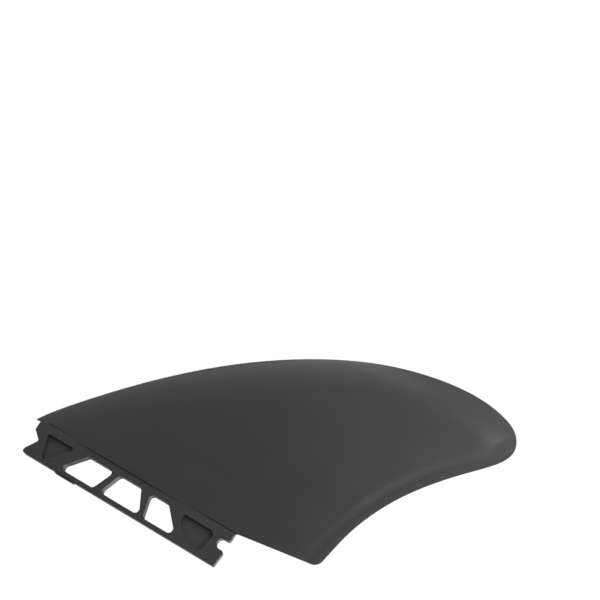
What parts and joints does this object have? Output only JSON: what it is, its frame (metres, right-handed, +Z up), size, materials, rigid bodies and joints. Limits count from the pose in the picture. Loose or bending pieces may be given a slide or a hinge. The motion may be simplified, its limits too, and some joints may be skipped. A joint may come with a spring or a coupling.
{
  "type": "surfboard side fin",
  "caption": "Moulded keel-style side fin for a surfboard, with a windowed slot-in tab and a foiled, outward leaning blade.",
  "frame": {"origin": "middle of the flat bottom face of the tab", "axes": "+Z up from the tab towards the blade tip, +X to the trailing edge (rear), -Y towards the foiled outer face"},
  "size_m": [0.2233, 0.0157, 0.1405],
  "materials": {
    "moulded_nylon": "satin"
  },
  "bodies": {
    "root": {"keel_fin": "moulded_nylon"}
  },
  "joints": []
}
